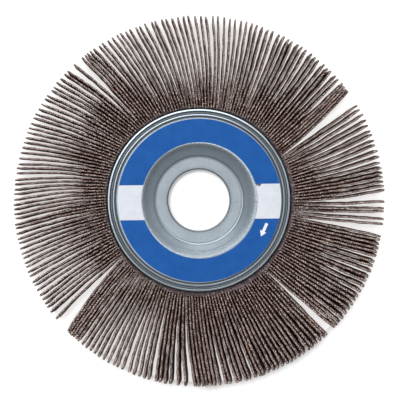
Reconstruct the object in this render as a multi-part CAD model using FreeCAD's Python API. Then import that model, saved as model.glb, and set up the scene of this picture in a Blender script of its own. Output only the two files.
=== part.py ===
"""Unmounted flap wheel for grinding and polishing, lying flat with its axis upright.

Cloth flaps stand edge-on round a cast resin core. A pressed steel flange closes
each side: a flat seat round the bore, a dished wall up to a level land, and a
beaded rim whose edge is turned down into a notch in the flap roots. A steel
sleeve carries the bore between the two seats, and the front land has a label.
The origin is on the bore's axis, halfway across the flaps. Lengths are in mm.
"""

import FreeCAD, Part
import math
import os
import random

Vector = FreeCAD.Vector

# Sizes of the flap pack
wheel_diameter = 152.4
flap_width = 25.4
flap_count = 216
flap_thickness = 0.8

# How far the flap tips lie ahead of their roots: place round the wheel and lean
# there, both in degrees about the axis, joined by straight lines
lean_angles = (
    (0, 2.1), (10, 2.9), (20, 3.0), (29, 3.9), (36, 3.4), (60, 3.3), (90, 5.9), (105, 6.2),
    (128, 5.1), (142, 6.2), (170, 6.0), (185, 4.8), (210, 3.1), (216, 3.7), (222, 3.3),
    (240, 3.3), (268, 4.8), (290, 2.8), (310, 1.6), (320, 1.5), (345, 1.8),
)
uneven_ratio = 0.25
uneven_seed = 5
most_crowding_ratio = 0.8

# Partings between flap tips: place and clear width in degrees, then how many
# flaps are crowded together on the clockwise and the anticlockwise side
parting_angles_and_counts = (
    (0.9, 2.8, 0, 4),
    (13.0, 1.7, 3, 0),
    (32.2, 4.6, 0, 4),
    (131.9, 2.7, 4, 0),
    (133.6, 2.1, 0, 7),
    (218.7, 1.8, 3, 0),
    (220.3, 4.8, 0, 5),
    (246.4, 1.6, 2, 0),
    (255.2, 1.6, 2, 1),
    (262.4, 1.8, 3, 0),
    (266.1, 2.8, 0, 4),
    (264.3, 1.35, 0, 1),
    (278.0, 1.7, 2, 1),
    (280.8, 1.6, 1, 1),
    (283.7, 1.6, 1, 1),
    (286.7, 1.6, 1, 2),
    (305.2, 1.5, 1, 1),
    (315.6, 2.7, 1, 2),
    (352.0, 3.3, 5, 0),
    (355.5, 1.6, 0, 1),
    (358.2, 1.6, 1, 0),
)

# Sizes of the pressed steel flanges
bore_diameter = 25.4
sheet_thickness = 0.9
seat_width = 5.6
dish_width = 4.4
dish_depth = 4.5
land_width = 11.4
shoulder_bevel = 1.4
lip_depth = 2.4

# Rim of a flange, outside the land: one bead, then a flat edge
bead_height = 0.4
bead_slope = 0.9
edge_width = 1.6

# Sizes of what lies between and on the flanges
sleeve_wall = 2.0
notch_clearance = 0.6
root_wall = 0.4
label_thickness = 0.15
label_inner_margin = 1.35
label_outer_margin = 0.45

# Places that follow from the sizes
bore_radius = bore_diameter / 2
wheel_radius = wheel_diameter / 2
side_z = flap_width / 2
land_z = side_z + sheet_thickness
seat_z = land_z - dish_depth
seat_radius = bore_radius + seat_width
shoulder_radius = seat_radius + dish_width
rim_radius = shoulder_radius + land_width
flange_radius = rim_radius + 2 * bead_slope + edge_width
lip_z = side_z - lip_depth
lip_radius = flange_radius - sheet_thickness
sleeve_radius = bore_radius + sleeve_wall
notch_radius = flange_radius + notch_clearance
packed_radius = flap_count * flap_thickness / (2 * math.pi)
root_radius = max(notch_radius, packed_radius) + root_wall
dish_angle = math.atan2(dish_depth, dish_width)
under_shift = sheet_thickness * math.tan(dish_angle / 2)


def polar(radius, degrees, z=0.0):
    """The point at this radius and angle about the wheel's axis."""
    turn = math.radians(degrees)
    return Vector(radius * math.cos(turn), radius * math.sin(turn), z)


def section(radius, z):
    """A point of a profile that will be turned about the axis."""
    return Vector(radius, 0, z)


def turned(points):
    """The solid that a closed profile sweeps in a full turn about the axis."""
    face = Part.Face(Part.makePolygon(points + [points[0]]))
    return face.revolve(Vector(0, 0, 0), Vector(0, 0, 1), 360)


def bevelled(before, corner, after, reach):
    """The two points that take the place of a corner, this far along each side."""
    back = (before - corner).normalize()
    ahead = (after - corner).normalize()
    return [corner + back * reach, corner + ahead * reach]


def under_flange():
    """Underside of the seat and the dished wall, from the bore out to the land."""
    inner = section(bore_radius, seat_z - sheet_thickness)
    foot = section(seat_radius + under_shift, seat_z - sheet_thickness)
    corner = section(shoulder_radius + under_shift, side_z)
    return [inner, foot, corner]


def rim_points():
    """Top of the rim from the land out to the edge."""
    heights = (land_z, land_z + bead_height, land_z)
    bead = [section(rim_radius + i * bead_slope, z) for i, z in enumerate(heights)]
    return bead + [section(flange_radius, land_z)]


def front_flange():
    """One pressed sheet: seat, dished wall, land, beaded rim and turned-down lip."""
    seat_edge = section(seat_radius, seat_z)
    corner = section(shoulder_radius, land_z)
    rim = rim_points()
    top = [section(bore_radius, seat_z), seat_edge]
    top += bevelled(seat_edge, corner, rim[0], shoulder_bevel)
    lip = [section(flange_radius, lip_z), section(lip_radius, lip_z)]
    underside = [section(lip_radius, side_z)] + under_flange()[::-1]
    return turned(top + rim + lip + underside)


def bore_sleeve():
    """Tube that spaces the two seats and carries the bore from one to the other."""
    length = 2 * (seat_z - sheet_thickness)
    base = Vector(0, 0, -length / 2)
    outside = Part.makeCylinder(sleeve_radius, length, base)
    return outside.cut(Part.makeCylinder(bore_radius, length, base))


def front_label():
    """Printed ring that lies on the land, clear of the shoulder and the rim."""
    inner = shoulder_radius + label_inner_margin
    outer = rim_radius - label_outer_margin
    base = Vector(0, 0, land_z)
    disc = Part.makeCylinder(outer, label_thickness, base)
    return disc.cut(Part.makeCylinder(inner, label_thickness, base))


def tip_gaps(pitch, mean_gap):
    """Share of the mean gap that lies after each flap tip, always above nothing.

    Each tip first strays a little. Every parting then takes room from the gaps
    beside it, so the flaps there crowd together and the ring still closes.
    """
    chance = random.Random(uneven_seed)
    stray = [uneven_ratio * chance.uniform(-1, 1) for _ in range(flap_count)]
    gaps = [1 + stray[(i + 1) % flap_count] - stray[i] for i in range(flap_count)]
    for place, width, before, after in parting_angles_and_counts:
        middle = round((place - lean_at(place)) / pitch) - 1
        before, after = round(before), round(after)
        taken = (width / mean_gap - 1) / max(before + after, 1)
        taken = min(max(taken, 0), most_crowding_ratio)
        crowded = list(range(middle - before, middle))
        crowded += range(middle + 1, middle + after + 1)
        for i in crowded:
            room = taken * gaps[i % flap_count]
            gaps[i % flap_count] -= room
            gaps[middle % flap_count] += room
    return gaps


def lean_at(degrees):
    """How far the flap tips lie ahead of their roots round this place."""
    place = degrees % 360
    first = lean_angles[0]
    ring = lean_angles + ((first[0] + 360, first[1]),)
    for (low, low_lean), (high, high_lean) in zip(ring, ring[1:]):
        if low <= place <= high:
            share = (place - low) / (high - low)
            return low_lean + share * (high_lean - low_lean)


def flap_swings():
    """Angle of each flap's tip ahead of its own root, in degrees."""
    pitch = 360 / flap_count
    mean_gap = pitch - math.degrees(flap_thickness / wheel_radius)
    gaps = tip_gaps(pitch, mean_gap)
    shifts = [0.0]
    for gap in gaps[:-1]:
        shifts.append(shifts[-1] + (gap - 1) * mean_gap)
    level = sorted(shifts)[flap_count // 2]
    return [
        lean_at((i + 0.5) * pitch) + shift - level
        for i, shift in enumerate(shifts)
    ]


def flap_tip(tip_degrees, swing):
    """The two corners of one flap's tip, square across a flap that leans this far."""
    length = wheel_radius - root_radius
    slant = math.atan(wheel_radius * math.radians(swing) / length)
    half = math.degrees(flap_thickness / 2 / wheel_radius / math.cos(slant))
    return [
        polar(wheel_radius, tip_degrees - half, -side_z),
        polar(wheel_radius, tip_degrees + half, -side_z),
    ]


def flap_pack():
    """All flaps, set by their roots in the cast resin core, as one solid."""
    pitch = 360 / flap_count
    outline = []
    for i, swing in enumerate(flap_swings()):
        outline.append(polar(root_radius, i * pitch, -side_z))
        outline += flap_tip((i + 0.5) * pitch + swing, swing)
    outline.append(outline[0])
    plan = Part.Face(Part.makePolygon(outline))
    pack = plan.extrude(Vector(0, 0, flap_width))
    hole = Part.makeCylinder(sleeve_radius, flap_width, Vector(0, 0, -side_z))
    front = [dish_recess(), rim_notch()]
    rear = [mirrored(tool) for tool in front]
    return pack.cut([hole] + front + rear)


def dish_recess():
    """Space that the front flange's seat and dished wall take from the core."""
    return turned(under_flange() + [section(bore_radius, side_z)])


def rim_notch():
    """Notch across the flap roots for the front flange's lip, a little wider than it."""
    base = Vector(0, 0, lip_z)
    outside = Part.makeCylinder(notch_radius, lip_depth, base)
    return outside.cut(Part.makeCylinder(lip_radius, lip_depth, base))


def mirrored(shape):
    """The same shape on the wheel's other side."""
    return shape.mirror(Vector(0, 0, 0), Vector(0, 0, 1))


def single_solid(shape):
    """The one solid that a shape holds."""
    solids = shape.Solids
    assert len(solids) == 1, f"{len(solids)} solids where one was meant"
    return solids[0]


front = front_flange()
pieces = {
    "front_flange": front,
    "rear_flange": mirrored(front),
    "bore_sleeve": bore_sleeve(),
    "flap_pack": flap_pack(),
    "front_label": front_label(),
}

os.makedirs("parts", exist_ok=True)
for name, shape in pieces.items():
    solid = single_solid(shape)
    solid.exportStep(f"parts/{name}.step")
    box = solid.BoundBox
    print(f"{name}: volume {solid.Volume / 1000:.2f} cm3, valid {solid.isValid()},")
    print(f"  {box.XLength:.2f} x {box.YLength:.2f} x {box.ZLength:.2f} mm")
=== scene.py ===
# %% [markdown]
# Flap wheel for grinding and polishing.
# A wheel of this kind is a ring of abrasive cloth flaps, set on edge in cast resin between two
# pressed steel flanges. This lesson dresses the exact CAD model of it: every piece is worked out
# from sizes in millimetres, built as a mesh in code, and given a finish made of shader nodes.

# %% Load the frame
import math
import random

import bmesh
import bpy
import numpy as np
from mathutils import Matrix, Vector


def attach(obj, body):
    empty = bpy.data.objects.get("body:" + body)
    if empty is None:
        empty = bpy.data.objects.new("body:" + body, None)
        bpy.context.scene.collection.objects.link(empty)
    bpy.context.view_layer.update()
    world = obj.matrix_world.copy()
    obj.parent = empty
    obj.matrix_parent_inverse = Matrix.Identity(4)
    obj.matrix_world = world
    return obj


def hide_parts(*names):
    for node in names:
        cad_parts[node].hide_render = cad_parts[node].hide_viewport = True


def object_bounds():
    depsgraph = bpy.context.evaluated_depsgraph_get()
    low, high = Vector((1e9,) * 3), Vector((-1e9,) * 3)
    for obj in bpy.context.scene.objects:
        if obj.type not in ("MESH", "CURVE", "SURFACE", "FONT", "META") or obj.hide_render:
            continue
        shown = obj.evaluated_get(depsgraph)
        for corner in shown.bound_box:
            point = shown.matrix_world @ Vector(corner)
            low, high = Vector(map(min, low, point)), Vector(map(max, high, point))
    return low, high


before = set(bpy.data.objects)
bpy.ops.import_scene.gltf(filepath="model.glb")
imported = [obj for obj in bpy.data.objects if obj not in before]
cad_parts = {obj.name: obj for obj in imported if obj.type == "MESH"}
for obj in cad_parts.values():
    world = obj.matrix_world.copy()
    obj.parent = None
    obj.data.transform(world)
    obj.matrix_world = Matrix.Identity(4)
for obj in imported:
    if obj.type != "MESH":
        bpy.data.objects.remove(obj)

mm = 0.001
cad_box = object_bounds()
print("CAD nodes:", sorted(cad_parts))

# %% [markdown]
# The camera comes first, because every choice of detail depends on what it sees. The wheel was
# photographed from straight above, from about 900 mm over its upper face, so the flaps show only
# a little of their sides. A long lens at that distance gives the wheel the size it has there.

# %% Camera above the wheel
side_z = 12.7
camera_height = 900.0
camera_middle = (0.45, 0.08)
view_width = 164.8
sensor_width = 36.0
camera_data = bpy.data.cameras.new("camera_above")
camera_data.sensor_width = sensor_width
camera_data.lens = sensor_width * camera_height / view_width
camera = bpy.data.objects.new("camera_above", camera_data)
camera.location = (camera_middle[0] * mm, camera_middle[1] * mm, (side_z + camera_height) * mm)
bpy.context.scene.collection.objects.link(camera)
bpy.context.scene.camera = camera
print(f"lens {camera_data.lens:.1f} mm")

# %% [markdown]
# Light comes from two soft lamps and a sky. The sky is a pale gradient that is brightest towards
# the top of the picture. Bright metal shows what is round it, so that gradient is what shades the
# dished wall of the flange: light at its lower side and dark at its upper side.

# %% Sky with a gradient
world = bpy.data.worlds.new("soft_sky")
bpy.context.scene.world = world
world.use_nodes = True
sky = world.node_tree
sky.nodes.clear()
sky_output = sky.nodes.new("ShaderNodeOutputWorld")
sky_background = sky.nodes.new("ShaderNodeBackground")
sky_direction = sky.nodes.new("ShaderNodeTexCoord")
sky_bright_side = sky.nodes.new("ShaderNodeVectorMath")
sky_bright_side.operation = "DOT_PRODUCT"
sky_bright_side.inputs[1].default_value = (0.1, 0.75, 0.75)
sky_level = sky.nodes.new("ShaderNodeMapRange")
sky_level.inputs["From Min"].default_value = 0.05
sky_level.inputs["From Max"].default_value = 1.0
sky_level.inputs["To Min"].default_value = 0.27
sky_level.inputs["To Max"].default_value = 0.68
sky.links.new(sky_direction.outputs["Generated"], sky_bright_side.inputs[0])
sky.links.new(sky_bright_side.outputs["Value"], sky_level.inputs["Value"])
sky.links.new(sky_level.outputs["Result"], sky_background.inputs["Strength"])
sky_background.inputs["Color"].default_value = (0.97, 0.985, 1.0, 1.0)
sky.links.new(sky_background.outputs["Background"], sky_output.inputs["Surface"])
print("sky ready")

# %% [markdown]
# The key lamp stands beyond the top of the picture and gives the rim its bright upper arcs. The
# side lamp at the left is weaker and smaller. It lights those sides of the flaps that the key
# lamp leaves dark, so that cloth shows there instead of black gaps.

# %% Key lamp and side lamp
def place_lamp(name, azimuth, elevation, distance, size, power):
    """A square soft lamp that looks at the middle of the wheel."""
    data = bpy.data.lights.new(name, "AREA")
    data.shape = "SQUARE"
    data.size = size
    data.energy = power
    lamp = bpy.data.objects.new(name, data)
    level = math.cos(math.radians(elevation))
    lamp.location = (
        distance * level * math.cos(math.radians(azimuth)),
        distance * level * math.sin(math.radians(azimuth)),
        distance * math.sin(math.radians(elevation)),
    )
    lamp.rotation_euler = (-lamp.location).to_track_quat("-Z", "Y").to_euler()
    bpy.context.scene.collection.objects.link(lamp)
    return lamp


key_lamp = place_lamp("key_lamp", azimuth=104, elevation=46, distance=1.1, size=1.3, power=9.6)
side_lamp = place_lamp("side_lamp", azimuth=170, elevation=56, distance=1.1, size=0.8, power=2.4)
bpy.context.scene.view_settings.view_transform = "Standard"
for lamp in (key_lamp, side_lamp):
    print(lamp.name, "at", tuple(round(v, 3) for v in lamp.location))

# %% [markdown]
# Colours are written as they are read off a picture, from 0 to 255. Blender's shaders work in
# linear light, so one helper turns the one into the other. The class below starts a finish, which
# is a material with its shader, and has short names for the nodes that this wheel needs.

# %% Helpers for finishes
def tint(red, green, blue):
    """A picture colour as the linear colour that a shader takes."""
    linear = []
    for value in (red, green, blue):
        share = value / 255
        linear.append(share / 12.92 if share <= 0.04045 else ((share + 0.055) / 1.055) ** 2.4)
    return (*linear, 1.0)


def grey(level):
    """A plain linear grey."""
    return (level, level, level, 1.0)


class Finish:
    """A material under construction, with short ways to add and join nodes."""

    def __init__(self, name, roughness, metallic=0.0):
        self.material = bpy.data.materials.new(name)
        self.material.use_nodes = True
        self.tree = self.material.node_tree
        self.shader = self.tree.nodes["Principled BSDF"]
        self.shader.inputs["Roughness"].default_value = roughness
        self.shader.inputs["Metallic"].default_value = metallic
        self.place = self.tree.nodes.new("ShaderNodeTexCoord").outputs["Object"]

    def add(self, kind, **settings):
        """A new node, with its own settings."""
        node = self.tree.nodes.new(kind)
        for name, value in settings.items():
            setattr(node, name, value)
        return node

    def join(self, output, socket):
        """Joins an output to an input."""
        self.tree.links.new(output, socket)

    def give(self, output, name):
        """Joins an output to an input of the shader."""
        self.join(output, self.shader.inputs[name])

    def noise(self, cell_mm, detail=3.0, roughness=0.55, where=None):
        """Cloudy noise whose patches are about this many millimetres across."""
        node = self.add("ShaderNodeTexNoise")
        node.inputs["Scale"].default_value = 1 / (cell_mm * mm)
        node.inputs["Detail"].default_value = detail
        node.inputs["Roughness"].default_value = roughness
        self.join(where or self.place, node.inputs["Vector"])
        return node.outputs["Fac"]

    def ramp(self, value, stops):
        """A colour ramp over a value. Each stop is a place and a colour."""
        node = self.add("ShaderNodeValToRGB")
        band = node.color_ramp
        while len(band.elements) < len(stops):
            band.elements.new(0.5)
        for element, (place, colour) in zip(band.elements, stops):
            element.position = place
            element.color = colour
        self.join(value, node.inputs["Fac"])
        return node.outputs["Color"]

    def fit(self, value, low, high, to_low, to_high):
        """A value moved from one range to another, and held inside it."""
        node = self.add("ShaderNodeMapRange")
        for name, number in (
            ("From Min", low), ("From Max", high), ("To Min", to_low), ("To Max", to_high)
        ):
            node.inputs[name].default_value = number
        self.join(value, node.inputs["Value"])
        return node.outputs["Result"]

    def work_out(self, operation, first, second=0.0):
        """Arithmetic on one or two values. Either may be a plain number."""
        node = self.add("ShaderNodeMath", operation=operation)
        for socket, value in zip(node.inputs, (first, second)):
            if isinstance(value, (int, float)):
                socket.default_value = value
            else:
                self.join(value, socket)
        return node.outputs["Value"]

    def times(self, first, second):
        """One value times another."""
        return self.work_out("MULTIPLY", first, second)

    def plus(self, first, second):
        """One value plus another."""
        return self.work_out("ADD", first, second)

    def blend(self, share, first, second, way="MIX"):
        """Two colours mixed by a share."""
        node = self.add("ShaderNodeMix", data_type="RGBA", blend_type=way)
        factor, a, b = node.inputs[0], node.inputs[6], node.inputs[7]
        for socket, value in ((factor, share), (a, first), (b, second)):
            if isinstance(value, (int, float, tuple)):
                socket.default_value = value
            else:
                self.join(value, socket)
        return node.outputs[2]

    def shaded(self, colour, shade):
        """A colour times a shade."""
        return self.blend(1.0, colour, shade, way="MULTIPLY")

    def distance_to(self, point_mm):
        """Distance in metres to a point that is given in millimetres."""
        node = self.add("ShaderNodeVectorMath", operation="DISTANCE")
        node.inputs[1].default_value = tuple(c * mm for c in point_mm)
        self.join(self.place, node.inputs[0])
        return node.outputs["Value"]

    def openness(self, way, reach_mm, samples):
        """How free a surface is towards one way: 0 where things stand close by, 1 where none do."""
        direction = self.add("ShaderNodeCombineXYZ")
        for axis, share in zip("XYZ", way):
            direction.inputs[axis].default_value = share
        node = self.add("ShaderNodeAmbientOcclusion", samples=samples)
        node.inputs["Distance"].default_value = reach_mm * mm
        self.join(direction.outputs["Vector"], node.inputs["Normal"])
        return node.outputs["AO"]

    def bump(self, height, depth_mm):
        """Relief from a height value."""
        node = self.add("ShaderNodeBump")
        node.inputs["Distance"].default_value = depth_mm * mm
        self.join(height, node.inputs["Height"])
        self.give(node.outputs["Normal"], "Normal")


print("grey card as the shader sees it:", [round(v, 3) for v in tint(128, 128, 128)])

# %% [markdown]
# The floor is a wide pale sheet on which the wheel lies flat. The world alone could paint the
# background white, but only a real surface takes shadows. Its finish is as dull as paper.

# %% Pale floor
def new_mesh(name, points, faces):
    """A mesh made from points in metres and faces that number them."""
    mesh = bpy.data.meshes.new(name)
    mesh.from_pydata(points, [], faces)
    return mesh


floor_z = cad_box[0][2]
floor_half = 3.0
floor_corners = [(-1, -1), (1, -1), (1, 1), (-1, 1)]
floor_points = [(x * floor_half, y * floor_half, floor_z) for x, y in floor_corners]
floor_mesh = new_mesh("pale_floor", floor_points, [(0, 1, 2, 3)])
floor = bpy.data.objects.new("pale_floor", floor_mesh)
bpy.context.scene.collection.objects.link(floor)

floor_finish = Finish("pale_paper_floor", roughness=0.9)
floor_tone = floor_finish.ramp(
    floor_finish.noise(40.0), [(0.3, (0.24, 0.225, 0.215, 1)), (0.7, (0.26, 0.245, 0.235, 1))]
)
floor_finish.give(floor_tone, "Base Color")
floor_finish.shader.inputs["Specular IOR Level"].default_value = 0.0
floor_mesh.materials.append(floor_finish.material)
print(f"floor at z = {floor_z / mm:.2f} mm")

# %% [markdown]
# A glow is added to the floor where the camera or a mirror sees it, which clears the background
# to white without more light on the wheel. Three shades take some of it away again: grey-brown
# between the flaps, where little light gets down; a soft edge inside the bore; and a contact
# shadow just past the lower tips. The first and the last come from how freely the floor can see
# towards the lamps, which an ambient occlusion node measures.

# %% White glow of the floor
light_path = floor_finish.add("ShaderNodeLightPath")
seen = floor_finish.plus(light_path.outputs["Is Camera Ray"], light_path.outputs["Is Glossy Ray"])
seen = floor_finish.plus(seen, light_path.outputs["Is Transmission Ray"])
floor_finish.give(seen, "Emission Strength")

floor_glow = floor_finish.ramp(floor_finish.openness((-0.2, 0.6, 0.77), reach_mm=3.0, samples=12), [
    (0.1, (0.27, 0.246, 0.236, 1)), (0.3, (0.48, 0.45, 0.44, 1)), (0.5, (0.61, 0.58, 0.57, 1)),
    (0.7, (0.73, 0.71, 0.70, 1)), (0.87, (0.84, 0.83, 0.825, 1)), (1.0, grey(0.97)),
])
from_middle = floor_finish.distance_to((0.5, -0.7, floor_z / mm))
bore_shade = floor_finish.work_out(
    "MAXIMUM",
    floor_finish.fit(from_middle, 12.15 * mm, 13.6 * mm, 1.0, 0.25),
    floor_finish.fit(from_middle, 15 * mm, 16 * mm, 0.0, 1.0),
)
tip_shade = floor_finish.ramp(floor_finish.openness((-0.3, 0.9, 0.3), reach_mm=8.0, samples=24), [
    (0.5, (0.28, 0.27, 0.265, 1)), (0.6, (0.42, 0.41, 0.405, 1)), (0.69, grey(0.7)),
    (0.74, grey(0.92)), (0.78, grey(1.0)),
])
past_tips = floor_finish.fit(from_middle, 75.8 * mm, 76.8 * mm, 0.0, 1.0)
tip_shade = floor_finish.blend(past_tips, grey(1.0), tip_shade)
floor_finish.give(
    floor_finish.shaded(floor_finish.shaded(floor_glow, tip_shade), bore_shade), "Emission Color"
)
print("floor glow ready")

# %% [markdown]
# The flanges are pressed from steel sheet and plated with zinc. Zinc plate is a cool grey metal
# with a satin sheen. Handling leaves it slightly cloudy, with a few dark specks, so the colour
# and the roughness both wander a little. Painted shade darkens its colour in rings, at the bore's
# edge, the foot of the dish, the shoulder and the grooves of the rim, and so also dims the
# highlights on those bends; the grooves hold a little grime as well. The outer edge is painted a
# touch lighter, as a highlight. The shoulder is dented and worn dull. A wheel turns, so all of
# these lie in rings, and the distance from the axis is all that the shader has to know to place them.

# %% Zinc-plated steel
def from_axis(finish, stops):
    """A grey that depends on the distance from the wheel's axis. Each stop is (mm, tone)."""
    flat = finish.add("ShaderNodeVectorMath", operation="MULTIPLY")
    flat.inputs[1].default_value = (1, 1, 0)
    finish.join(finish.place, flat.inputs[0])
    length = finish.add("ShaderNodeVectorMath", operation="LENGTH")
    finish.join(flat.outputs["Vector"], length.inputs[0])
    farthest = 40
    share = finish.fit(length.outputs["Value"], 0.0, farthest * mm, 0.0, 1.0)
    return finish.ramp(share, [(r / farthest, grey(tone)) for r, tone in stops])


def zinc_plate(name, light_tone, dark_tone, grime_and_shade=(), worn_rings=()):
    """Satin zinc plate, lightly speckled, with painted shade and grime in rings, and wear, at some
    distances from the axis.
    """
    finish = Finish(name, roughness=0.36, metallic=0.9)
    body = finish.ramp(finish.noise(9.0, detail=4.0), [(0.3, dark_tone), (0.72, light_tone)])
    grain = finish.fit(finish.noise(0.45, detail=2.0), 0.3, 0.7, 0.0, 1.0)
    grain_tone = finish.ramp(grain, [(0, tint(120, 132, 142)), (1, tint(225, 230, 234))])
    body = finish.blend(0.25, body, grain_tone)
    speck = finish.fit(finish.noise(1.6, detail=1.0), 0.77, 0.80, 0.0, 0.7)
    body = finish.blend(speck, body, tint(70, 78, 86))
    # Painted shade in rings round the axis, with a little grime in the grooves.
    if grime_and_shade:
        body = finish.shaded(body, from_axis(finish, grime_and_shade))
    finish.give(body, "Base Color")
    sheen = finish.fit(finish.noise(7.0, detail=3.0), 0.3, 0.7, 0.27, 0.33)
    relief = finish.times(finish.noise(0.5, detail=3.0), 0.05)
    if worn_rings:
        wear = from_axis(finish, worn_rings)
        relief = finish.plus(relief, finish.times(finish.noise(0.8, detail=4.0), wear))
        sheen = finish.plus(sheen, finish.times(wear, 0.22))
    finish.give(sheen, "Roughness")
    finish.bump(relief, 0.25)
    return finish.material


worn_shoulder = [
    (20.8, 0.02), (21.8, 0.9), (23.6, 1.0), (24.2, 0.0), (33.8, 0.0), (34.6, 0.15), (36.2, 0.15),
    (36.8, 0.25), (37.5, 0.25),
]
# Painted shade in rings: darker at the bore's edge, a little darker over the seat, darker at the foot of
# the dish, the shoulder and the rim's grooves, which dims their highlights, with a little grime; a touch
# lighter at the outer edge, as a painted highlight.
groove_grime_and_shade = [
    (12.75, 0.2), (13.2, 0.34), (13.5, 0.78), (14.6, 0.85), (17.2, 0.89), (17.7, 0.6),
    (18.6, 0.62), (19.0, 0.9), (21.5, 0.87), (22.1, 0.64), (22.9, 0.52), (23.3, 0.6), (23.7, 1.0),
    (33.85, 1.0), (34.1, 0.24), (34.6, 0.22), (34.9, 0.75), (35.35, 0.85), (35.75, 0.34),
    (36.7, 0.26), (36.95, 1.0), (37.5, 1.05),
]
plated_steel = zinc_plate(
    "zinc_plated_steel", tint(208, 221, 231), tint(196, 210, 220), groove_grime_and_shade, worn_shoulder
)
print("finish:", plated_steel.name)

# %% [markdown]
# A pressing has no sharp corners: sheet metal always bends round a radius. The flange is drawn as
# a half section, a list of corners with a radius for each, and the first helper below puts a short
# arc at every corner. Turning that closed line once round the axis makes the solid, as on a lathe.

# %% Rounded half sections
def rounded_section(corners, steps=6):
    """A closed line through corners (r, z, radius in mm), with an arc at each corner."""
    line = []
    count = len(corners)
    for i, (r, z, radius) in enumerate(corners):
        here = np.array((r, z))
        back = np.array(corners[i - 1][:2]) - here
        ahead = np.array(corners[(i + 1) % count][:2]) - here
        back_length = np.linalg.norm(back)
        ahead_length = np.linalg.norm(ahead)
        back = back / back_length
        ahead = ahead / ahead_length
        turn = math.acos(max(-1.0, min(1.0, float(back @ ahead))))
        reach = min(radius / math.tan(turn / 2), 0.48 * back_length, 0.48 * ahead_length)
        start = here + back * reach
        end = here + ahead * reach
        for step in range(steps + 1):
            t = step / steps
            point = (1 - t) ** 2 * start + 2 * t * (1 - t) * here + t * t * end
            line.append(tuple(point))
    return line


test_corner = rounded_section([(0, 0, 1), (4, 0, 1), (4, 4, 1)])
print("points on three rounded corners:", len(test_corner))

# %% [markdown]
# Every round piece of the wheel is a profile that is repeated at even turns and joined to the
# next one. Blender's Screw modifier does that too, but here some profiles change as they go round,
# so three small helpers serve them all. Another one finishes a piece: its normals face out, and it
# gets its materials, its material slot and the body on which it rides.

# %% Helpers for round pieces
turned_segments = 288


def at_turn(turn, r, z):
    """The point in metres at this angle in radians, and this radius and height in mm."""
    return (r * math.cos(turn) * mm, r * math.sin(turn) * mm, z * mm)


def ring_faces(turns, rows):
    """Faces that join closed profiles, of so many rows, to each other round a whole ring."""
    faces = []
    for a in range(turns):
        b = (a + 1) % turns
        for i in range(rows):
            j = (i + 1) % rows
            faces.append((a * rows + i, a * rows + j, b * rows + j, b * rows + i))
    return faces


def turned_mesh(name, line, segments):
    """A mesh made by turning a closed half section once round the axis."""
    points = [at_turn(2 * math.pi * a / segments, r, z) for a in range(segments) for r, z in line]
    return new_mesh(name, points, ring_faces(segments, len(line)))


def finished_piece(name, mesh, materials, smooth=False):
    """A mesh made into a piece that rides on the wheel, with its normals facing out."""
    builder = bmesh.new()
    builder.from_mesh(mesh)
    bmesh.ops.recalc_face_normals(builder, faces=builder.faces)
    builder.to_mesh(mesh)
    builder.free()
    mesh.polygons.foreach_set("use_smooth", [smooth] * len(mesh.polygons))
    for material in materials:
        mesh.materials.append(material)
    piece = bpy.data.objects.new(name, mesh)
    bpy.context.scene.collection.objects.link(piece)
    if smooth:
        weighted = piece.modifiers.new("even_shading", "WEIGHTED_NORMAL")
        weighted.keep_sharp = True
    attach(piece, "root")
    return piece


def turned_steel(name, line, steel):
    """A piece of smooth plated steel, turned from a closed half section."""
    mesh = turned_mesh(name, line, turned_segments)
    return finished_piece(name, mesh, [steel], smooth=True)


def triangles(piece):
    """How many triangles a piece's own mesh has."""
    return sum(len(face.vertices) - 2 for face in piece.data.polygons)


print("faces of a ring with 4 turns and 3 rows:", len(ring_faces(4, 3)))

# %% [markdown]
# The front flange, from the bore outwards: a flat seat for the arbor's washer, a dished wall, a
# rounded shoulder, a level land under the label, two stiffening beads, each with a groove inside
# it, and an edge that is turned down into the cloth. The sizes are those of the CAD node that it
# stands for, so all of it stays where the solid is, with rounder corners and one more bead.

# %% Front flange
bore_radius = 12.7
sheet = 0.9
dish_width = 4.4
dish_depth = 4.5
land_z = side_z + sheet
seat_z = land_z - dish_depth
seat_radius = 18.3
shoulder_radius = seat_radius + dish_width
rim_radius = 34.1
flange_radius = 37.5
lip_z = side_z - 2.4
bead_z = land_z + 0.4
inner_groove_z = land_z - 0.3
outer_groove_z = land_z - 0.4
under_shift = sheet * math.tan(math.atan2(dish_depth, dish_width) / 2)
flange_corners = [
    (bore_radius, seat_z - 0.03, 0.75),
    (seat_radius - 0.1, seat_z + 0.05, 0.9),
    (shoulder_radius + 0.25, land_z, 3.0),
    (rim_radius - 0.05, land_z, 0.1),
    (rim_radius + 0.1, inner_groove_z, 0.05),
    (rim_radius + 0.45, inner_groove_z, 0.05),
    (rim_radius + 0.85, bead_z, 0.3),
    (rim_radius + 1.3, bead_z - 0.2, 0.3),
    (rim_radius + 1.8, outer_groove_z, 0.2),
    (rim_radius + 2.3, outer_groove_z, 0.2),
    (rim_radius + 2.75, bead_z, 0.2),
    (flange_radius, bead_z - 0.27, 0.15),
    (flange_radius, lip_z, 0.2),
    (flange_radius - sheet, lip_z, 0.2),
    (flange_radius - sheet, side_z, 0.2),
    (shoulder_radius + under_shift, side_z, 0.5),
    (seat_radius + under_shift, seat_z - sheet, 0.9),
    (bore_radius, seat_z - sheet, 0.1),
]
flange_line = rounded_section(flange_corners)
front_pressing = turned_steel("front_pressing", flange_line, plated_steel)
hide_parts("front_flange")
print("front flange triangles:", triangles(front_pressing))

# %% [markdown]
# The rear flange is the same pressing turned over, since one press tool makes both. Its line is
# the front one with the heights negated, which keeps the two alike whatever size is changed.

# %% Rear flange
rear_line = [(r, -z) for r, z in flange_line]
rear_pressing = turned_steel("rear_pressing", rear_line, plated_steel)
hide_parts("rear_flange")
print("rear flange down to z =", round(min(z for r, z in rear_line), 2), "mm")

# %% [markdown]
# Bore sleeve. Between the two seats a short steel tube carries the bore, and from above only a
# thin ring of its wall shows. It is drawn and turned like the flanges, with small chamfers.

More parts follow.
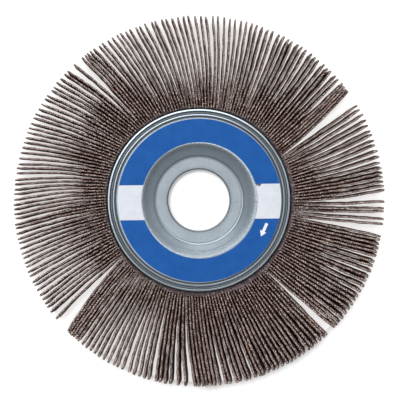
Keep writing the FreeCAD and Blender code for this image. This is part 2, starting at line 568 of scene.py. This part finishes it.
# %% Bore sleeve
sleeve_radius = bore_radius + 2.0
sleeve_end = seat_z - sheet
sleeve_line = rounded_section([
    (bore_radius, -sleeve_end, 0.15),
    (sleeve_radius, -sleeve_end, 0.15),
    (sleeve_radius, sleeve_end, 0.15),
    (bore_radius, sleeve_end, 0.15),
], steps=3)
sleeve_steel = zinc_plate("drawn_tube_steel", tint(170, 176, 182), tint(140, 147, 154))
sleeve_tube = turned_steel("sleeve_tube", sleeve_line, sleeve_steel)
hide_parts("bore_sleeve")
print("sleeve triangles:", triangles(sleeve_tube))

# %% [markdown]
# Printed label. It is a paper ring on the land: blue above and below, with a white band at each
# side whose long edges are straight. Printed colour is never quite even, so ink and paper have a
# faint cloud in them. The white band has one small chip, where the print has come away: a spot
# that is worked out from the distance to its middle, with an uneven edge.

# %% Ink and paper
blue_ink = Finish("blue_label_ink", roughness=0.42)
blue_cloud = blue_ink.ramp(
    blue_ink.noise(5.0, detail=4.0), [(0.3, tint(22, 85, 161)), (0.7, tint(30, 94, 171))]
)
blue_dots = blue_ink.ramp(
    blue_ink.fit(blue_ink.noise(0.35, detail=1.0), 0.35, 0.65, 0.0, 1.0),
    [(0, tint(20, 70, 140)), (1, tint(70, 125, 195))],
)
blue_ink.give(blue_ink.blend(0.12, blue_cloud, blue_dots), "Base Color")
blue_ink.shader.inputs["Specular IOR Level"].default_value = 0.12
blue_ink.bump(blue_ink.noise(0.6), 0.006)

white_paper = Finish("white_label_paper", roughness=0.5)
paper_tone = white_paper.ramp(
    white_paper.noise(3.0, detail=4.0), [(0.3, tint(220, 223, 231)), (0.7, tint(229, 232, 239))]
)
chip_edge = white_paper.times(white_paper.noise(0.8, detail=2.0), 2.6 * mm)
from_chip = white_paper.work_out("SUBTRACT", white_paper.distance_to((24.6, 6.9, 13.75)), chip_edge)
chip = white_paper.fit(from_chip, -0.35 * mm, 0.0, 0.9, 0.0)
white_paper.give(white_paper.blend(chip, paper_tone, tint(44, 58, 84)), "Base Color")
white_paper.shader.inputs["Specular IOR Level"].default_value = 0.25
white_paper.bump(white_paper.noise(0.5), 0.008)

arrow_ink = Finish("white_arrow_ink", roughness=0.5)
arrow_tone = arrow_ink.ramp(
    arrow_ink.noise(1.5, detail=3.0), [(0.3, tint(240, 243, 249)), (0.7, tint(250, 251, 253))]
)
arrow_ink.give(arrow_tone, "Base Color")
arrow_ink.bump(arrow_ink.noise(0.4), 0.006)
print("label finishes ready")

# %% [markdown]
# The label is glued on by hand, so it lies a quarter of a millimetre off the middle. One shader
# could colour both fields by height, but once it is baked to a picture its edges are soft. Instead
# a ring of small faces is cut along the straight edges of the band, and each face takes the ink or
# the paper, so that the print stays crisp.

# %% Label ring
label_inner = shoulder_radius + 1.3
label_outer = rim_radius - 0.45
label_top = land_z + 0.15
label_off_middle = (0.25, -0.1)
label_segments = 240
label_rings = 6
band_turn = math.radians(0.7)
band_edges = (6.45, -7.9)

label_line = [(r, label_top) for r in np.linspace(label_inner, label_outer, label_rings + 1)]
label_line += [(label_outer, land_z), (label_inner, land_z)]
label_mesh = turned_mesh("label_ring", label_line, label_segments)
label_builder = bmesh.new()
label_builder.from_mesh(label_mesh)
bmesh.ops.translate(
    label_builder, verts=label_builder.verts[:], vec=(*(shift * mm for shift in label_off_middle), 0)
)
band_across = Vector((-math.sin(band_turn), math.cos(band_turn), 0))
for edge in band_edges:
    everything = label_builder.verts[:] + label_builder.edges[:] + label_builder.faces[:]
    bmesh.ops.bisect_plane(
        label_builder, geom=everything, dist=1e-7, plane_co=band_across * edge * mm,
        plane_no=band_across,
    )
for face in label_builder.faces:
    height = face.calc_center_median().dot(band_across) / mm
    face.material_index = 1 if band_edges[1] < height < band_edges[0] else 0
label_builder.to_mesh(label_mesh)
label_builder.free()
label_ring = finished_piece(
    "label_ring", label_mesh, [blue_ink.material, white_paper.material]
)
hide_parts("front_label")
print("label triangles:", triangles(label_ring))

# %% [markdown]
# A plain arrow on the lower blue field shows which way the wheel turns. Seven corners give its
# outline, and it stands a hair above the paper like a thick layer of ink. Its outline is written
# down twice, low and high, and the two are joined, which makes a real raised shape.

# %% Turning arrow
arrow_tail = Vector((28.0, -9.5, 0))
arrow_tip = Vector((25.5, -14.9, 0))
arrow_shaft = 0.6
arrow_head = 1.4
arrow_head_length = 2.3
ink_height = 0.04
arrow_along = (arrow_tip - arrow_tail).normalized()
arrow_across = Vector((-arrow_along.y, arrow_along.x, 0))
arrow_neck = arrow_tip - arrow_along * arrow_head_length
arrow_outline = [
    arrow_tail + arrow_across * arrow_shaft,
    arrow_tail - arrow_across * arrow_shaft,
    arrow_neck - arrow_across * arrow_shaft,
    arrow_neck - arrow_across * arrow_head,
    arrow_tip,
    arrow_neck + arrow_across * arrow_head,
    arrow_neck + arrow_across * arrow_shaft,
]
arrow_levels = (label_top, label_top + ink_height)
arrow_points = [(p.x * mm, p.y * mm, z * mm) for z in arrow_levels for p in arrow_outline]
corners = len(arrow_outline)
arrow_faces = [tuple(range(corners)), tuple(range(corners, 2 * corners))]
for a in range(corners):
    b = (a + 1) % corners
    arrow_faces.append((a, b, corners + b, corners + a))
arrow_mesh = new_mesh("turning_arrow", arrow_points, arrow_faces)
turning_arrow = finished_piece("turning_arrow", arrow_mesh, [arrow_ink.material])
print("arrow triangles:", triangles(turning_arrow))

# %% [markdown]
# Where every flap stands. The flaps are cut alike and glued in at even steps, but their tips are
# free: they trail to one side, stray a little, and part here and there. Each parting takes room
# from its neighbours, so the flaps beside it crowd together and no two ever cross. A parting is
# its place and width in degrees, and how many flaps are crowded together on each side of it.

# %% Flap places, by the same rule as the CAD model
flap_count = 216
flap_thickness = 0.8
wheel_radius = 76.2
root_radius = 38.5
uneven_ratio = 0.25
most_crowding = 0.8
pitch = 360 / flap_count
mean_gap = pitch - math.degrees(flap_thickness / wheel_radius)
partings = (
    (0.9, 2.8, 0, 4), (13.0, 1.7, 3, 0), (32.2, 4.6, 0, 4), (131.9, 2.7, 4, 0), (133.6, 2.1, 0, 7),
    (218.7, 1.8, 3, 0), (220.3, 4.8, 0, 5), (246.4, 1.6, 2, 0), (255.2, 1.6, 2, 1),
    (262.4, 1.8, 3, 0), (266.1, 2.8, 0, 4), (264.3, 1.35, 0, 1), (278.0, 1.7, 2, 1),
    (280.8, 1.6, 1, 1), (283.7, 1.6, 1, 1), (286.7, 1.6, 1, 2), (305.2, 1.5, 1, 1),
    (315.6, 2.7, 1, 2), (352.0, 3.3, 5, 0), (355.5, 1.6, 0, 1), (358.2, 1.6, 1, 0),
)
leans = (
    (0, 2.1), (10, 2.9), (20, 3.0), (29, 3.9), (36, 3.4), (60, 3.3), (90, 5.9), (105, 6.2),
    (128, 5.1), (142, 6.2), (170, 6.0), (185, 4.8), (210, 3.1), (216, 3.7), (222, 3.3),
    (240, 3.3), (268, 4.8), (290, 2.8), (310, 1.6), (320, 1.5), (345, 1.8),
)


def round_the_wheel(degrees, stops):
    """A value joined by straight lines between stops of (place, value) round the wheel."""
    places, values = zip(*stops)
    return np.interp(degrees, places, values, period=360)


def tip_gaps():
    """Share of the mean gap after each flap tip."""
    chance = random.Random(5)
    stray = [uneven_ratio * chance.uniform(-1, 1) for _ in range(flap_count)]
    gaps = [1 + stray[(i + 1) % flap_count] - stray[i] for i in range(flap_count)]
    for place, width, before, after in partings:
        middle = round((place - round_the_wheel(place, leans)) / pitch) - 1
        taken = min(max((width / mean_gap - 1) / (before + after), 0), most_crowding)
        for i in [*range(middle - before, middle), *range(middle + 1, middle + after + 1)]:
            room = taken * gaps[i % flap_count]
            gaps[i % flap_count] -= room
            gaps[middle % flap_count] += room
    return gaps


gap_shares = tip_gaps()
tip_shift = np.concatenate(([0.0], np.cumsum((np.array(gap_shares[:-1]) - 1) * mean_gap)))
tip_shift = tip_shift - np.sort(tip_shift)[flap_count // 2]
flap_roots = (np.arange(flap_count) + 0.5) * pitch
flap_swing = round_the_wheel(flap_roots, leans) + tip_shift
print(f"widest parting {max(gap_shares) * mean_gap:.1f} degrees")

# %% [markdown]
# These places are worked out anew, so they are checked against the CAD model. Its flap pack has
# a corner at each side of every tip, half a flap's thickness away from the tip's middle, which is
# about 0.3 degrees. Each flap has to find its nearest corner at that distance.

# %% How well these places meet the CAD model
cad_corners = np.array([vertex.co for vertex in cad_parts["flap_pack"].data.vertices]) / mm
on_tips = np.hypot(cad_corners[:, 0], cad_corners[:, 1]) > wheel_radius - 0.1
on_top = cad_corners[:, 2] > side_z - 0.1
cad_tips = cad_corners[on_tips & on_top]
cad_turns = np.degrees(np.arctan2(cad_tips[:, 1], cad_tips[:, 0]))
off_by = [np.abs((cad_turns - tip + 180) % 360 - 180).min() for tip in flap_roots + flap_swing]
print(f"CAD tip corners: {len(cad_turns)}; every flap has one within {max(off_by):.2f} degrees")

# %% [markdown]
# The shape of a flap. Cloth is never dead flat: each flap bends along its length, twists a little
# so that its far edge lies to one side, waves gently and ends in a slightly ragged tip. The lists
# below say how that changes round the wheel: how much of a flap's side the camera sees, how far
# out cloth and resin close the gap between two flaps, how the bend is spread, and how blunt the
# tip is. Each stop is a place in degrees and a value.

# %% How the flaps differ round the wheel
side_shown = (
    (0, 0.8), (4, 1.0), (13, 0.6), (28, 0.6), (40, 1.0), (60, 0.7), (75, 0.4), (110, 0.4),
    (128, 0.9), (136, 0.4), (160, 0.5), (175, 0.4), (200, 0.45), (225, 0.5), (245, 0.45),
    (255, 0.9), (275, 0.9), (288, 1.5), (308, 1.4), (312, 0.3), (315, 0.5), (320, 1.4),
    (328, 0.9), (340, 0.8), (346, 1.0), (349, 0.3), (356, 0.5),
)
closed_to = (
    (0, 0.36), (5, 0.44), (12, 0.36), (16, 0.26), (24, 0.28), (28, 0.12), (36, 0.58), (50, 0.42),
    (60, 0.3), (70, 0.24), (88, 0.24), (105, 0.34), (125, 0.44), (150, 0.46), (165, 0.42),
    (190, 0.36), (205, 0.3), (213, 0.24), (217, 0.06), (224, 0.18), (244, 0.2), (262, 0.26),
    (285, 0.52), (300, 0.64), (310, 0.7), (313, 0.3), (316, 0.3), (318, 0.62), (332, 0.56),
    (342, 0.5), (347, 0.24), (355, 0.28),
)
bend_power = ((0, 1.15), (30, 1.0), (265, 1.0), (300, 0.8), (320, 0.85), (335, 1.15))
tip_blunt = ((0, 0.3), (30, 0.1), (200, 0.1), (235, 0.8), (260, 1.0), (340, 1.0), (350, 0.4))
print("most side shown:", max(shown for _, shown in side_shown), "mm")

# %% [markdown]
# A flap's mesh has two broad sides, each a grid of stations along the flap and levels over its
# width, and a ridge along each long edge, where the threads round the cut off. An Array modifier
# would repeat one flap round the wheel, but no two real ones are alike, so the class below works
# out each flap for itself, at all its stations at once, with arrays.

# %% Shape of one flap
stations = 22
levels = 5
edge_round = 0.3
swell_depth = 9.0
ripple_size = 0.12
ragged_tip = 0.35
loose_thread = 0.08
flap_waves = ((1.4, 0.07), (2.7, 0.05), (5.2, 0.05))
along = np.linspace(-0.01, 1.0, stations + 1)
reach = np.clip(along, 0, 1)
heights = np.linspace(-1.0, 1.0, levels + 1) * (side_z - edge_round)

flap_chance = np.random.default_rng(11)
tip_wear = flap_chance.uniform(0.0, 0.35, flap_count)
tip_reach = wheel_radius + 0.48 + 0.39 * np.cos(np.radians(flap_roots - 282)) - tip_wear
ripple_phase = flap_chance.uniform(0, 2 * math.pi)


def closing(end):
    """Share of the gap that cloth and resin fill deep between the flaps, from 1 down to 0."""
    t = np.clip((end + 0.16 - reach) / 0.32, 0, 1)
    return t * t * (3 - 2 * t)


class Flap:
    """One flap at each station: radius and sideways lag in mm, angles in radians."""

    def __init__(self, i):
        root = flap_roots[i]
        self.length = tip_reach[i] - root_radius
        self.radius = root_radius + along * self.length
        self.blunt = round_the_wheel(root, tip_blunt)
        slant = np.arctan(self.radius * np.radians(flap_swing[i]) / self.length)
        # A blunt tip spreads, and any other one narrows over its last stretch.
        wider = 1 + 0.32 * self.blunt * reach + (0.2 * self.blunt - 0.15) * reach**14
        half = flap_thickness * wider / 2 / self.radius / np.cos(slant)

        # From a quarter of its length on, the far edge shows by this much from the camera.
        shown = round_the_wheel(root, side_shown) * flap_chance.uniform(0.75, 1.25)
        inward = self.radius * 2 * side_z / (camera_height + 2 * side_z)
        ripple = ripple_size * np.sin(np.radians(root) * 9 + ripple_phase + 5 * along)
        self.lag = shown * np.minimum(reach / 0.25, 1) - inward * np.tan(slant) + ripple

        # Near the root, the sides swell until they meet those of the next flaps.
        filled = closing(round_the_wheel(root, closed_to) + flap_chance.uniform(-0.19, 0.19))
        self.swell = np.maximum(math.radians(pitch) / 2 * 1.02 - half, 0) * filled

        # The middle line bends towards the tip, and slow waves make it wander.
        wander = sum(
            size * np.sin(2 * math.pi * (count * reach + flap_chance.uniform(0, 1)))
            for count, size in flap_waves
        )
        bend = round_the_wheel(root, bend_power)
        self.middle = np.radians(root + flap_swing[i] * reach**bend)
        self.middle = self.middle + wander * np.minimum(reach * 1.6, 1) / self.radius
        fray = flap_chance.uniform(-0.16, 0.12, (2, stations + 1)) * np.minimum(reach * 3, 1)
        self.half = half * (1 + fray)

    def lag_turn(self, s, z, r):
        """How far the flap lags at this height, as an angle."""
        return self.lag[s] * ((side_z - z) / (2 * side_z)) / r

    def place(self, s, across, z):
        """The place of a point on its own flat cloth, in metres."""
        return along[s] * self.length * mm, across * mm, z * mm

    def broad_side(self, side):
        """Points of one broad side, numbered 0 or 1, with their places on the cloth."""
        sign = 2 * side - 1
        for s in range(stations + 1):
            r = np.full(levels + 1, self.radius[s])
            if s == stations:
                r = r + flap_chance.uniform(-ragged_tip, 0.0, levels + 1)
            for level, z in enumerate(heights):
                depth = min((side_z - edge_round - abs(z)) / swell_depth, 1.0)
                off_middle = sign * (self.half[side][s] + self.swell[s] * depth)
                turn = self.middle[s] + off_middle + self.lag_turn(s, z, r[level])
                yield at_turn(turn, r[level], z), self.place(s, sign * flap_thickness / 2, z)

    def ridge(self, edge):
        """Points along one long edge, numbered 0 for the far one and 1 for the near one."""
        for s in range(stations + 1):
            z = (2 * edge - 1) * (side_z - flap_chance.uniform(0.0, loose_thread))
            r = self.radius[s] - (0.25 * (1 - self.blunt) if s == stations else 0.0)
            turn = self.middle[s] + self.lag_turn(s, z, self.radius[s])
            yield at_turn(turn, r, z), self.place(s, 0.0, z)

    def points(self):
        """All points of the flap with their places on the cloth."""
        return [*self.broad_side(0), *self.broad_side(1), *self.ridge(0), *self.ridge(1)]


print("points on a flap:", 2 * (stations + 1) * (levels + 2))

# %% [markdown]
# The faces are the same for every flap, so one function numbers them from the flap's first point.
# Each face also gets its kind, because grit, backing and cut edge are three different finishes.

# %% Faces of the flaps
grit_kind = 0
backing_kind = 1
cut_kind = 2


def flap_faces(base):
    """Faces of the flap whose first point has this number, each with its kind."""
    block = (stations + 1) * (levels + 1)
    long_edges = ((0, 0), (1, levels))

    def on_side(side, s, level):
        return base + side * block + s * (levels + 1) + level

    def on_ridge(edge, s):
        return base + 2 * block + edge * (stations + 1) + s

    for s in range(stations):
        for level in range(levels):
            for side, kind in ((0, grit_kind), (1, backing_kind)):
                yield (
                    on_side(side, s, level), on_side(side, s + 1, level),
                    on_side(side, s + 1, level + 1), on_side(side, s, level + 1),
                ), kind
        for edge, level in long_edges:
            for side in (0, 1):
                yield (
                    on_side(side, s, level), on_side(side, s + 1, level),
                    on_ridge(edge, s + 1), on_ridge(edge, s),
                ), cut_kind
    for s in (0, stations):
        for level in range(levels):
            yield (
                on_side(0, s, level), on_side(0, s, level + 1),
                on_side(1, s, level + 1), on_side(1, s, level),
            ), cut_kind
        for edge, level in long_edges:
            yield (on_side(0, s, level), on_side(1, s, level), on_ridge(edge, s)), cut_kind


cloth_points = []
cloth_places = []
cloth_faces = []
cloth_kinds = []
for i in range(flap_count):
    for face, kind in flap_faces(len(cloth_points)):
        cloth_faces.append(face)
        cloth_kinds.append(kind)
    for point, place in Flap(i).points():
        cloth_points.append(point)
        cloth_places.append(place)
print("flap faces:", len(cloth_faces))

# %% [markdown]
# Finishes of the abrasive cloth. One side carries the grit, dark brown and sparkling; the other is
# bare woven backing, a lighter grey-brown. The cut edge between them shows the ends of the
# threads, slanting like the strands of a rope. Each point of the mesh knows its place on its own
# flap, and the three finishes draw their weave from that, so it follows every bend.

# %% Weave of the cloth
thread_pitch = 0.95


def cloth_place(finish):
    """The point's own place on its flap, in metres."""
    return finish.add("ShaderNodeAttribute", attribute_name="cloth_place").outputs["Vector"]


def cloth_axes(finish):
    """That place as three values: along the flap, through the cloth and over its width."""
    node = finish.add("ShaderNodeSeparateXYZ")
    finish.join(cloth_place(finish), node.inputs["Vector"])
    return node.outputs["X"], node.outputs["Y"], node.outputs["Z"]


def flap_tone(finish):
    """A number from 0 to 1 that differs from flap to flap."""
    return finish.add("ShaderNodeAttribute", attribute_name="flap_tone").outputs["Fac"]


def strands(finish, slope):
    """Waves from 0 to 1 across slanting strands."""
    dot = finish.add("ShaderNodeVectorMath", operation="DOT_PRODUCT")
    turn = 2 * math.pi / (thread_pitch * mm)
    dot.inputs[1].default_value = tuple(turn * share for share in slope)
    finish.join(cloth_place(finish), dot.inputs[0])
    jitter = finish.fit(finish.noise(1.4, detail=3.0), 0.3, 0.7, -2.2, 2.2)
    wave = finish.work_out("SINE", finish.plus(dot.outputs["Value"], jitter))
    return finish.fit(wave, -1.0, 1.0, 0.0, 1.0)


def streaks(finish):
    """Patches from 0 to 1 that are drawn out along the flap and differ from flap to flap."""
    lengthwise, across, _ = cloth_axes(finish)
    drawn_out = finish.add("ShaderNodeCombineXYZ")
    finish.join(finish.times(lengthwise, 0.3), drawn_out.inputs["X"])
    finish.join(finish.times(across, 1.5), drawn_out.inputs["Y"])
    finish.join(finish.times(flap_tone(finish), 0.3), drawn_out.inputs["Z"])
    patches = finish.noise(0.7, detail=2.0, where=drawn_out.outputs["Vector"])
    return finish.fit(patches, 0.35, 0.65, 0.0, 1.0)


def woven(finish, slope):
    """Strands, roughness and streaks mixed to one value from 0 to 1."""
    rough = finish.fit(finish.noise(0.5, detail=2.0), 0.32, 0.68, 0.0, 1.0)
    mix = finish.plus(finish.times(strands(finish, slope), 0.32), finish.times(rough, 0.4))
    return finish.plus(mix, finish.times(streaks(finish), 0.28))


print(f"threads every {thread_pitch} mm")

# %% [markdown]
# Light hardly reaches the roots, so the tone rises along the flap: painted shade, with dust and resin
# darkening the roots further. Deep between the flaps the broad sides are painted darker, as shade. On
# the cut edge a painted highlight runs along its middle, and the tone falls off towards both corners,
# where loose fibres hang: painted shade there, and at the edge's root as well.

# %% Cloth finishes
def cloth_tone_and_shade(finish, frayed_and_shaded):
    """How light the cloth is: cloudy, different from flap to flap, with painted shade at the root and
    deep between the flaps, and a painted highlight on the cut edge.
    """
    lengthwise, across, over = cloth_axes(finish)
    patch = finish.fit(finish.noise(7.0, detail=3.0), 0.3, 0.7, 0.78, 1.15)
    tone = finish.times(patch, finish.fit(flap_tone(finish), 0, 1, 0.85, 1.15))
    # Painted shade: the broad sides are darker deep between the flaps.
    inside = finish.fit(finish.work_out("ABSOLUTE", over), 5 * mm, 12.4 * mm, 0.8, 1.0)
    tone = finish.times(tone, inside)
    # Painted shade, with some dust and resin, darkens the broad sides towards the root.
    if not frayed_and_shaded:
        return finish.times(tone, finish.fit(lengthwise, 0.0, 26 * mm, 0.03, 1.0))
    # On the cut edge: a painted highlight along its middle, painted shade towards its corners, where
    # fibres also hang loose, and painted shade at the root.
    spread = finish.fit(lengthwise, 0.0, 20 * mm, 1.5, 1.0)
    off_middle = finish.times(finish.work_out("ABSOLUTE", across), spread)
    tone = finish.times(tone, finish.fit(off_middle, 0.08 * mm, 0.36 * mm, 1.2, 0.1))
    return finish.times(tone, finish.fit(lengthwise, 0.0, 20 * mm, 0.8, 1.0))


def cloth_finish(name, slope, stops, speck_tone, speck_share, depth, frayed_and_shaded=False):
    """A woven finish: strands in three tones, varied from flap to flap, with bright specks."""
    finish = Finish(name, roughness=0.85)
    weave = woven(finish, slope)
    shade = finish.ramp(
        cloth_tone_and_shade(finish, frayed_and_shaded), [(0.0, grey(0)), (0.25, (0.32, 0.185, 0.16, 1)), (1.0, grey(1))]
    )
    body = finish.shaded(finish.ramp(weave, stops), shade)
    tan = finish.fit(finish.noise(11.0, detail=3.0, roughness=0.7), 0.58, 0.72, 0.0, 0.45)
    body = finish.blend(tan, body, finish.shaded(body, (1.5, 1.2, 0.85, 1)))
    speck = finish.fit(finish.noise(0.6, detail=0.0), 0.64, 0.7, 0.0, speck_share)
    finish.give(finish.blend(speck, body, speck_tone), "Base Color")
    finish.shader.inputs["Specular IOR Level"].default_value = 0.1
    finish.bump(weave, depth)
    return finish.material


grit_side = cloth_finish(
    "grit_side", (0.7, 0.0, 0.7),
    [(0.2, tint(66, 49, 45)), (0.5, tint(112, 90, 85)), (0.8, tint(158, 135, 128))],
    tint(170, 150, 140), 0.5, 0.10,
)
cloth_back = cloth_finish(
    "cloth_back", (1.0, 0.0, 0.8),
    [(0.2, tint(128, 110, 105)), (0.5, tint(176, 162, 156)), (0.8, tint(212, 202, 196))],
    tint(205, 195, 186), 0.5, 0.08,
)
cut_edge = cloth_finish(
    "cut_edge", (1.0, 0.9, 0.0),
    [(0.25, tint(48, 34, 31)), (0.5, tint(136, 116, 112)), (0.75, tint(212, 196, 191))],
    tint(228, 214, 202), 0.7, 0.12, frayed_and_shaded=True,
)
print("cloth finishes ready")

# %% [markdown]
# All flaps become one piece, because one CAD node stands for them. Two attributes go with the
# mesh: each point's place on its own cloth, and a number that differs from flap to flap.

# %% Flap piece
flap_mesh = new_mesh("cloth_flaps", cloth_points, cloth_faces)
flap_mesh.polygons.foreach_set("material_index", cloth_kinds)
place_layer = flap_mesh.attributes.new("cloth_place", "FLOAT_VECTOR", "POINT")
place_layer.data.foreach_set("vector", np.array(cloth_places, dtype=np.float32).ravel())
tone_layer = flap_mesh.attributes.new("flap_tone", "FLOAT", "POINT")
tones = np.repeat(flap_chance.uniform(0, 1, flap_count), len(cloth_points) // flap_count)
tone_layer.data.foreach_set("value", tones.astype(np.float32))
cloth_flaps = finished_piece(
    "cloth_flaps", flap_mesh, [grit_side, cloth_back, cut_edge]
)
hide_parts("flap_pack")
print("flap triangles:", triangles(cloth_flaps))

# %% [markdown]
# Cast resin. It fills the middle of the wheel between the flanges and rises a little way between
# the flap roots. Where it is thick, on the lower right side, it shows as a dull purple-brown
# smear. Towards the upper left, where it is thin, it is painted nearly black, partly as shade, and
# the moat between the flange and the cloth is painted darker all round, as shade. One finish
# holds both, and the side of the wheel decides the mix, so there is no seam in it.

# %% Resin finish
resin = Finish("cast_resin", roughness=0.5)
thick_cloud = resin.ramp(
    resin.noise(1.1, detail=5.0, roughness=0.65),
    [(0.3, tint(50, 36, 38)), (0.5, tint(98, 80, 86)), (0.72, tint(172, 152, 158))],
)
# Nearly black thin resin, which also stands for painted shade towards the upper left.
thin_resin_and_shade = resin.ramp(
    resin.noise(1.1, detail=4.0),
    [(0.3, tint(22, 15, 13)), (0.55, tint(50, 38, 33)), (0.75, tint(84, 66, 59))],
)
low_right = resin.add("ShaderNodeVectorMath", operation="DOT_PRODUCT")
low_right.inputs[1].default_value = (0.64, -0.77, 0)
resin.join(resin.place, low_right.inputs[0])
thick_share = resin.fit(low_right.outputs["Value"], -24 * mm, 14 * mm, 0.0, 1.0)
# Painted shade in the moat between the flange and the cloth.
moat_shade = from_axis(resin, [(37.4, 1.0), (37.7, 0.25), (38.1, 0.2), (38.7, 0.5), (39.1, 1.0)])
resin.give(resin.shaded(resin.blend(thick_share, thin_resin_and_shade, thick_cloud), moat_shade), "Base Color")
resin.give(resin.fit(resin.noise(1.0), 0.3, 0.7, 0.38, 0.62), "Roughness")
resin.bump(resin.noise(0.7, detail=4.0), 0.12)
print("resin ready")

# %% [markdown]
# The resin core follows the undersides of both flanges and their lips, as the casting does. Its
# outer edge is never an exact circle: it runs further out on the lower right side. So its profile
# is worked out anew at every turn, from seeded waves that give the same edge on each run.

# %% Resin core
notch_radius = 38.1
lip_radius = flange_radius - sheet
core_segments = 864
resin_chance = np.random.default_rng(3)
core_waves = [(k, resin_chance.uniform(0, 2 * math.pi)) for k in (3, 5, 9, 14, 23)]


def resin_rise(turn):
    """How far the resin reaches beyond the flap roots at this angle, in millimetres."""
    wobble = sum(math.sin(k * turn + phase) for k, phase in core_waves) / len(core_waves)
    return 0.75 + 0.35 * math.cos(turn - math.radians(310)) + 0.5 * wobble


core_front = [
    (sleeve_radius, -sleeve_end), (sleeve_radius, sleeve_end),
    (seat_radius + under_shift, sleeve_end), (shoulder_radius + under_shift, side_z),
    (lip_radius, side_z), (lip_radius, lip_z), (notch_radius, lip_z), (notch_radius, side_z - 0.1),
]
core_rear = [(r, -z) for r, z in core_front[:1:-1]]
core_points = []
for a in range(core_segments):
    turn = 2 * math.pi * a / core_segments
    outer = root_radius + resin_rise(turn)
    profile = [*core_front, (outer, side_z - 0.25), (outer, -side_z + 0.25), *core_rear]
    core_points += [at_turn(turn, r, z) for r, z in profile]
core_mesh = new_mesh("resin_core", core_points, ring_faces(core_segments, len(profile)))
resin_core = finished_piece("resin_core", core_mesh, [resin.material])
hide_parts("flap_pack")
print("resin triangles:", triangles(resin_core))

# %% [markdown]
# When the wheel was cast, some resin ran out over the flap roots on the lower right side. It set
# there as a thin, lumpy crust outside the flange, through which the flap edges still show here
# and there. Its width round the wheel is a short list of stops with finer seeded waves on top.

# %% Resin crust over the flap roots
crust_width = (
    (0, 0.9), (7, 1.5), (14, 0.5), (25, 0.2), (36, 0.8), (48, 0.2), (70, 0.05), (200, 0.05),
    (222, 0.3), (240, 0.4), (262, 0.5), (275, 0.8), (285, 0.7), (292, 1.8), (300, 2.2), (304, 0.8),
    (308, 1.5), (315, 1.9), (319, 0.7), (322, 0.7), (325, 1.4), (328, 0.6), (345, 0.5), (352, 0.4),
)
crust_fill = (
    (0, 0.3), (30, 0.2), (70, 0.0), (200, 0.0), (225, 0.5), (250, 0.8), (330, 0.8), (345, 0.4)
)
crust_steps = 1080
crust_across = 10
crust_foot = side_z - 1.2
crust_waves = [(k, resin_chance.uniform(0, 2 * math.pi), 6 / (k + 6)) for k in range(20, 200, 7)]
crust_lumps = []
for lump_length in (0.5, 0.6, 0.75, 0.9, 1.1, 1.3, 1.6, 2.0, 2.5, 3.2):
    way = resin_chance.uniform(0, 2 * math.pi)
    wave = 2 * math.pi / lump_length
    crust_lumps.append((wave * math.cos(way), wave * math.sin(way), resin_chance.uniform(0, 2 * math.pi)))


def lump_at(turn, r):
    """Height of the lumpy surface at this angle and radius, about -1 to 1."""
    x = r * math.cos(turn)
    y = r * math.sin(turn)
    lumps = [math.sin(a * x + b * y + phase) for a, b, phase in crust_lumps]
    return sum(lumps) / math.sqrt(len(lumps))


crust_points = []
for a in range(crust_steps):
    degrees = 360 * a / crust_steps
    turn = math.radians(degrees)
    wobble = sum(share * math.sin(k * turn + phase) for k, phase, share in crust_waves)
    width = max(round_the_wheel(degrees, crust_width) * (1 + 0.5 * wobble) + 0.1, 0.05)
    inner = notch_radius - 0.55 * round_the_wheel(degrees, crust_fill)
    outer = root_radius + width
    profile = [(inner, crust_foot)]
    for step in range(crust_across + 1):
        share = step / crust_across
        r = inner + 0.05 + share * (outer - inner - 0.1)
        edge_drop = 0.35 * max(0.0, abs(2 * share - 1) - 0.7) / 0.3
        profile.append((r, side_z - 0.06 + 0.15 * lump_at(turn, r) - edge_drop))
    profile.append((outer, crust_foot))
    crust_points += [at_turn(turn, r, z) for r, z in profile]
crust_mesh = new_mesh("resin_crust", crust_points, ring_faces(crust_steps, len(profile)))
resin_crust = finished_piece("resin_crust", crust_mesh, [resin.material])
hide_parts("flap_pack")
print("crust triangles:", triangles(resin_crust))

# %% [markdown]
# In a few places the resin also ran up over the edge of the flange and dried there as a smear.
# It stands proud of the metal, so it is a shape and not a stain in the shader. Each smear is an arc
# from one angle to another with a reach in millimetres. It swells towards its middle, follows the
# slope of the outer bead and hooks down over the edge.

# %% Resin smears on the flange's edge
smear_arcs = ((27, 41, 0.6), (292, 303, 0.35), (306, 312, 0.3), (317, 331, 0.6), (355, 364, 0.3))
smear_step = 0.25
edge_slope = 0.27 / 0.65


def smear_profile(turn, reach, swell):
    """Cross-section of a smear here: up the bead's slope, over the edge and down its outside."""
    ragged = 0.75 + 0.25 * lump_at(turn, flange_radius)
    inner = flange_radius + 0.05 - reach * swell * ragged
    height = 0.02 + 0.06 * swell * ragged
    profile = [(inner, land_z - 0.2), (inner, land_z + 0.12 + edge_slope * (flange_radius - inner))]
    for share in (0.3, 0.65, 1.0):
        r = inner + share * (flange_radius + 0.02 - inner)
        lump = 0.04 * lump_at(turn, 2 * r)
        profile.append((r, land_z + 0.13 + edge_slope * (flange_radius - r) + height + lump * swell))
    profile.append((flange_radius + 0.05 + 0.2 * swell, land_z - 0.3))
    profile.append((flange_radius + 0.05, side_z - 0.5))
    return profile


smear_points = []
smear_faces = []
for start, end, smear_reach in smear_arcs:
    count = round((end - start) / smear_step)
    first = len(smear_points)
    for a in range(count + 1):
        turn = math.radians(start + a * smear_step)
        profile = smear_profile(turn, smear_reach, math.sin(math.pi * a / count) ** 0.5)
        smear_points += [at_turn(turn, r, z) for r, z in profile]
    rows = len(profile)
    whole_ring = ring_faces(count + 1, rows)
    smear_faces += [tuple(first + corner for corner in face) for face in whole_ring[:-rows]]
    smear_faces.append(tuple(range(first, first + rows)))
    smear_faces.append(tuple(range(first + count * rows, first + (count + 1) * rows)))
smear_mesh = new_mesh("resin_smears", smear_points, smear_faces)
resin_smears = finished_piece("resin_smears", smear_mesh, [resin.material])
print("smear triangles:", triangles(resin_smears))
